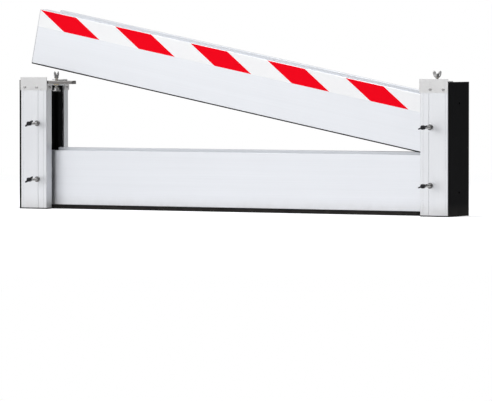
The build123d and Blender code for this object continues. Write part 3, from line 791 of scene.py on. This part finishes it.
HOLD_WING = (0.03, 0.025, 0.004)    # span, height and thickness
HOLD_HUB = (0.0075, 0.015)          # radius and height
HOLD_TURN = {"left": 90.0, "right": 0.0}
STEM_GAP = 0.0003
FOOT_PLATE = 0.004          # thickness of the foot's plate
FOOT_COLLAR = 0.009         # radius of the collar that holds the screw
FOOT_ROUND = 0.0012         # rounding of the plate's rim and of the corner under the collar
FOOT_CHAMFER = 0.0004
COLLAR_TOP = 0.0008         # chamfer of the collar's top
PAD_ROUND = 0.0014
PAD_HOLLOW = (0.35, 0.4, 0.0008)    # dish in the pad: its radii as shares of the rim, its depth
PAD_SHOULDER = (0.0006, 0.001)      # the pad's top, drawn in where it meets the plate
FOOT_STEPS = 56
for side in ("left", "right"):
    low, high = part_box(f"{side}_press_foot")
    middle = (low + high) / 2
    rim = (high.x - low.x) / 2
    bore = THREAD_RADIUS + STEM_GAP
    work = bmesh.new()
    tall = high.z - low.z
    outline = [(rim - FOOT_CHAMFER, 0.0), (rim, FOOT_CHAMFER)]
    outline += arc(rim - FOOT_ROUND, FOOT_PLATE - FOOT_ROUND, FOOT_ROUND, 0, 90, 5)
    outline += arc(FOOT_COLLAR + FOOT_ROUND, FOOT_PLATE + FOOT_ROUND, FOOT_ROUND, -90, -180, 4)
    outline += [(FOOT_COLLAR, tall - COLLAR_TOP), (FOOT_COLLAR - COLLAR_TOP, tall),
                (bore, tall), (bore, FOOT_PLATE)]
    lathe(work, outline, FOOT_STEPS)
    foot = finished(work, f"{side}_press_foot_turned", [screw_steel])
    foot.data.transform(Matrix.Translation((middle.x, middle.y, low.z)))
    stands_for(foot, f"{side}_press_foot")
    low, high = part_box(f"{side}_press_foot_pad")
    work = bmesh.new()
    tall = high.z - low.z
    outline = [(rim * PAD_HOLLOW[0], PAD_HOLLOW[2]), (rim * PAD_HOLLOW[1], 0.0)]
    outline += arc(rim - PAD_ROUND, PAD_ROUND, PAD_ROUND, -90, 0, 5)
    outline += [(rim - PAD_SHOULDER[0], tall - PAD_SHOULDER[0]), (rim - PAD_SHOULDER[1], tall)]
    lathe(work, outline, FOOT_STEPS)
    pad = finished(work, f"{side}_press_pad_rubber", [seal_rubber])
    pad.data.transform(Matrix.Translation((middle.x, middle.y, low.z)))
    stands_for(pad, f"{side}_press_foot_pad")

    node = f"{side}_hold_down_screw"
    low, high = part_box(node)
    middle = (low + high) / 2
    span, height, thickness = HOLD_WING
    head_base = high.z - ear_top(span, height)
    rod = threaded_rod(f"{node}_rod", THREAD_RADIUS, THREAD_PITCH, head_base - low.z, rod_steel)
    rod.data.transform(Matrix.Translation((middle.x, middle.y, low.z)))
    head = wing_head(f"{node}_head", span, height, *HOLD_HUB, thickness, [screw_steel])
    head.data.transform(Matrix.Translation((middle.x, middle.y, head_base))
                        @ Matrix.Rotation(radians(HOLD_TURN[side]), 4, "Z"))
    screw = joined(f"{node}_whole", [rod, head])
    stands_for(screw, node)

# ---------------------------------------------------------------------------------------------
# Lower board. A hollow aluminium extrusion, satin anodised, with a moulded cap in each end and
# a grooved rubber seal along its foot that takes up an uneven floor. A square tube on its top
# enters the slot of the board above.

BOARD_TINT = (0.81, 0.825, 0.855, 1.0)
# The joint strip's tint is darker than the board's: painted shade on the tube's front face, set back behind
# the board's.
STRIP_SHADE_TINT = (0.62, 0.635, 0.665, 1.0)
CAP_DARK = (0.5, 0.51, 0.53, 1.0)
CAP_PALE = (0.6, 0.61, 0.63, 1.0)
BOARD_EDGE = 0.0005
FLOOR_SEAL_EDGE = 0.0012
board_metal = satin_aluminium("board_satin_aluminium", LENGTHWAYS, BOARD_TINT, 0.38)
strip_shaded_metal = satin_aluminium("strip_satin_aluminium", LENGTHWAYS, STRIP_SHADE_TINT, 0.42)


def moulded_cap(name):
    """Grey moulded plastic, faintly orange-peeled."""
    material, tree, shader = new_finish(name, Metallic=0.0)
    where = add(tree, "ShaderNodeTexCoord").outputs["Object"]
    rub = use(tree, handling_group, {"Vector": where, "Clouds per metre": 25.0,
                                     "Marks per metre": 110.0})
    peel = add(tree, "ShaderNodeTexNoise", {"Vector": where, "Scale": 650.0, "Detail": 1.0}).outputs[0]
    tree.links.new(colour_mix(tree, rub["Cloud"], CAP_DARK, CAP_PALE), shader.inputs["Base Color"])
    tree.links.new(calc(tree, "MULTIPLY_ADD", rub["Marks"], 0.15, 0.42), shader.inputs["Roughness"])
    bump = add(tree, "ShaderNodeBump", {"Height": peel, "Strength": 0.3, "Distance": 0.0001})
    tree.links.new(bump.outputs[0], shader.inputs["Normal"])
    return material


cap_plastic = moulded_cap("cap_grey_plastic")
board = broken_edges("lower_board", "lower_board_shell", BOARD_EDGE, [board_metal, corner_highlight_metal])
stands_for(board, "lower_board")
strip = broken_edges("lower_board_joint_strip", "lower_board_strip_tube", BOARD_EDGE, [strip_shaded_metal])
stands_for(strip, "lower_board_joint_strip")
caps = broken_edges("lower_board_end_caps", "lower_board_moulded_caps", BOARD_EDGE, [cap_plastic])
stands_for(caps, "lower_board_end_caps")
seal = broken_edges("lower_board_floor_seal", "lower_board_rubber_foot", FLOOR_SEAL_EDGE, [seal_rubber])
stands_for(seal, "lower_board_floor_seal")

# ---------------------------------------------------------------------------------------------
# Upper board. The same extrusion with its left end still raised, two strips of seal under it,
# and red and white retroreflective tape stuck along the top of its front.

lowering = next(joint for joint in frame["joints"] if joint["child"] == "upper_board")
TILT = radians(max(lowering["range_deg"]))
TILTED = (0.0, radians(90) - TILT, 0.0)     # turn for lines along the tilted board
SEAL_EDGE = 0.0006
TAPE_EDGE = 0.00008
STRIPE_EDGE = 0.00005
WHITE_CELL, WHITE_WALL = (0.97, 0.97, 0.975, 1.0), (0.86, 0.865, 0.87, 1.0)
RED_CELL, RED_WALL = (0.99, 0.0005, 0.012, 1.0), (0.8, 0.0, 0.006, 1.0)
tilted_metal = satin_aluminium("upper_satin_aluminium", TILTED, BOARD_TINT, 0.38)
# The strip's darker tint is the same painted shade as on the lower board's strip.
tilted_strip_shaded_metal = satin_aluminium("tilted_strip_satin_aluminium", TILTED, STRIP_SHADE_TINT, 0.42)


def honeycomb():
    """Sealed cells of retroreflective film, as a mask that is 1 on the cell walls."""
    tree, given, put = new_group(
        "honeycomb",
        [("Vector", "Vector", None), ("Cells per metre", "Float", 300.0)],
        [("Wall", "Float")])
    wave = calc(tree, "MULTIPLY", given["Cells per metre"], 2 * pi / sin(radians(60)))
    total = 0.0
    for angle in (0, 60, 120):
        way = (cos(radians(angle)), 0.0, sin(radians(angle)))
        along = add(tree, "ShaderNodeVectorMath", {0: given["Vector"], 1: way}, operation="DOT_PRODUCT")
        phase = calc(tree, "MULTIPLY", along.outputs["Value"], wave)
        total = calc(tree, "ADD", calc(tree, "COSINE", phase), total)
    wall = add(tree, "ShaderNodeMapRange", {"Value": total, "From Min": -0.6, "From Max": -1.25},
               interpolation_type="SMOOTHSTEP")
    tree.links.new(wall.outputs[0], put["Wall"])
    return tree


honeycomb_group = honeycomb()


def reflective_film(name, cell_colour, wall_colour, rough, gloss):
    """Sealed film over a honeycomb of reflecting cells."""
    material, tree, shader = new_finish(name, Metallic=0.0, Coat_Weight=gloss, Coat_Roughness=0.35,
                                        Specular_IOR_Level=gloss)
    where = add(tree, "ShaderNodeTexCoord").outputs["Object"]
    flat = add(tree, "ShaderNodeMapping", {"Vector": where, "Rotation": (0.0, -TILT, 0.0)}).outputs[0]
    wall = use(tree, honeycomb_group, {"Vector": flat})["Wall"]
    rub = use(tree, handling_group, {"Vector": flat, "Clouds per metre": 12.0, "Marks per metre": 90.0})
    cells = colour_mix(tree, calc(tree, "MULTIPLY", wall, 0.5), cell_colour, wall_colour)
    tree.links.new(colour_mix(tree, calc(tree, "MULTIPLY", rub["Marks"], 0.008), cells, DUST),
                   shader.inputs["Base Color"])
    tree.links.new(calc(tree, "MULTIPLY_ADD", rub["Cloud"], 0.16, rough), shader.inputs["Roughness"])
    bump = add(tree, "ShaderNodeBump", {"Height": wall, "Strength": 0.3, "Distance": 0.00008})
    tree.links.new(bump.outputs[0], shader.inputs["Normal"])
    return material


white_film = reflective_film("tape_white_film", WHITE_CELL, WHITE_WALL, 0.3, 0.8)
red_film = reflective_film("tape_red_film", RED_CELL, RED_WALL, 0.28, 0.02)
board = broken_edges("upper_board", "upper_board_shell", BOARD_EDGE, [tilted_metal, corner_highlight_metal])
stands_for(board, "upper_board")
strip = broken_edges("upper_board_joint_strip", "upper_board_strip_tube", BOARD_EDGE, [tilted_strip_shaded_metal])
stands_for(strip, "upper_board_joint_strip")
caps = broken_edges("upper_board_end_caps", "upper_board_moulded_caps", BOARD_EDGE, [cap_plastic])
stands_for(caps, "upper_board_end_caps")
seal = broken_edges("upper_board_seal", "upper_board_rubber_strip", SEAL_EDGE, [seal_rubber])
stands_for(seal, "upper_board_seal")
tape = broken_edges("upper_board_tape", "upper_board_white_tape", TAPE_EDGE, [white_film], segments=1)
stands_for(tape, "upper_board_tape")
stripes = broken_edges("upper_board_stripes", "upper_board_red_stripes", STRIPE_EDGE, [red_film],
                       segments=1)
stands_for(stripes, "upper_board_stripes")

# ---------------------------------------------------------------------------------------------
# Studio. A white floor that fades into a white surround, a broad soft light in front and to
# the left, another overhead, and a long lens from the right and a little above.

FLOOR_RADIUS = 60.0
FADE = (1.6, 5.0)           # distances between which the floor fades into the surround
PAPER = (0.93, 0.93, 0.935, 1.0)
WHITE = (1.0, 1.0, 1.0, 1.0)
work = bmesh.new()
bmesh.ops.create_circle(work, cap_ends=True, segments=96, radius=FLOOR_RADIUS)
floor_mesh = bpy.data.meshes.new("studio_floor")
work.to_mesh(floor_mesh)
work.free()
paper = bpy.data.materials.new("studio_paper")
paper.use_nodes = True
tree = paper.node_tree
shader = tree.nodes["Principled BSDF"]
shader.inputs["Base Color"].default_value = PAPER
shader.inputs["Roughness"].default_value = 0.9
shader.inputs["Specular IOR Level"].default_value = 0.1
shader.inputs["Emission Color"].default_value = WHITE
where = add(tree, "ShaderNodeTexCoord").outputs["Object"]
distance = add(tree, "ShaderNodeVectorMath", {0: where}, operation="LENGTH").outputs["Value"]
fade = add(tree, "ShaderNodeMapRange", {"Value": distance, "From Min": FADE[0], "From Max": FADE[1]},
           interpolation_type="SMOOTHSTEP").outputs[0]
direct = add(tree, "ShaderNodeLightPath").outputs["Is Camera Ray"]
tree.links.new(calc(tree, "MULTIPLY", direct, 0.34), shader.inputs["Emission Strength"])
glow = add(tree, "ShaderNodeEmission", {"Strength": calc(tree, "MULTIPLY_ADD", direct, 0.6, 0.4)}).outputs[0]
mixed = add(tree, "ShaderNodeMixShader", {0: fade, 1: shader.outputs[0], 2: glow}).outputs[0]
tree.links.new(mixed, tree.nodes["Material Output"].inputs["Surface"])
floor = new_piece("studio_floor", floor_mesh, [paper])

world = bpy.data.worlds.new("studio")
scene.world = world
world.use_nodes = True
tree = world.node_tree
seen = add(tree, "ShaderNodeLightPath").outputs["Is Camera Ray"]
dim = tree.nodes["Background"]
dim.inputs["Color"].default_value = (0.97, 0.98, 1.0, 1.0)
around = add(tree, "ShaderNodeTexCoord").outputs["Generated"]
aside = add(tree, "ShaderNodeSeparateXYZ", {0: around}).outputs["X"]
level = add(tree, "ShaderNodeMapRange", {"Value": aside, "From Min": -0.6, "From Max": 0.9,
                                         "To Min": 0.85, "To Max": 0.12}).outputs[0]
tree.links.new(level, dim.inputs["Strength"])
white = add(tree, "ShaderNodeBackground", {"Color": WHITE, "Strength": 1.0})
sky = add(tree, "ShaderNodeMixShader", {0: seen, 1: dim.outputs[0], 2: white.outputs[0]}).outputs[0]
tree.links.new(sky, tree.nodes["World Output"].inputs["Surface"])

LIT = Vector((0.0, 0.0, 0.3))


def softbox(name, place, width, height, watts):
    """A large square light turned towards the barrier."""
    lamp = bpy.data.lights.new(name, "AREA")
    lamp.shape = "RECTANGLE"
    lamp.size, lamp.size_y, lamp.energy = width, height, watts
    holder = bpy.data.objects.new(name, lamp)
    holder.location = place
    holder.rotation_euler = (LIT - Vector(place)).to_track_quat("-Z", "Y").to_euler()
    scene.collection.objects.link(holder)


softbox("front_light", (-2.2, -4.2, 2.0), 3.4, 2.4, 40.0)
softbox("top_light", (0.3, -0.4, 3.6), 4.0, 3.0, 84.0)

AIM = Vector((0.025, 0.0, 0.04))
AZIMUTH, ELEVATION, DISTANCE = radians(28.5), radians(2.0), 16.0
camera = bpy.data.cameras.new("camera")
camera.lens = 340.0
camera.sensor_width = 36.0
camera.clip_end = 500.0
eye = bpy.data.objects.new("camera", camera)
towards = Vector((sin(AZIMUTH) * cos(ELEVATION), -cos(AZIMUTH) * cos(ELEVATION), sin(ELEVATION)))
eye.location = AIM + towards * DISTANCE
eye.rotation_euler = towards.to_track_quat("Z", "Y").to_euler()
scene.collection.objects.link(eye)
scene.camera = eye
scene.view_settings.view_transform = "Standard"
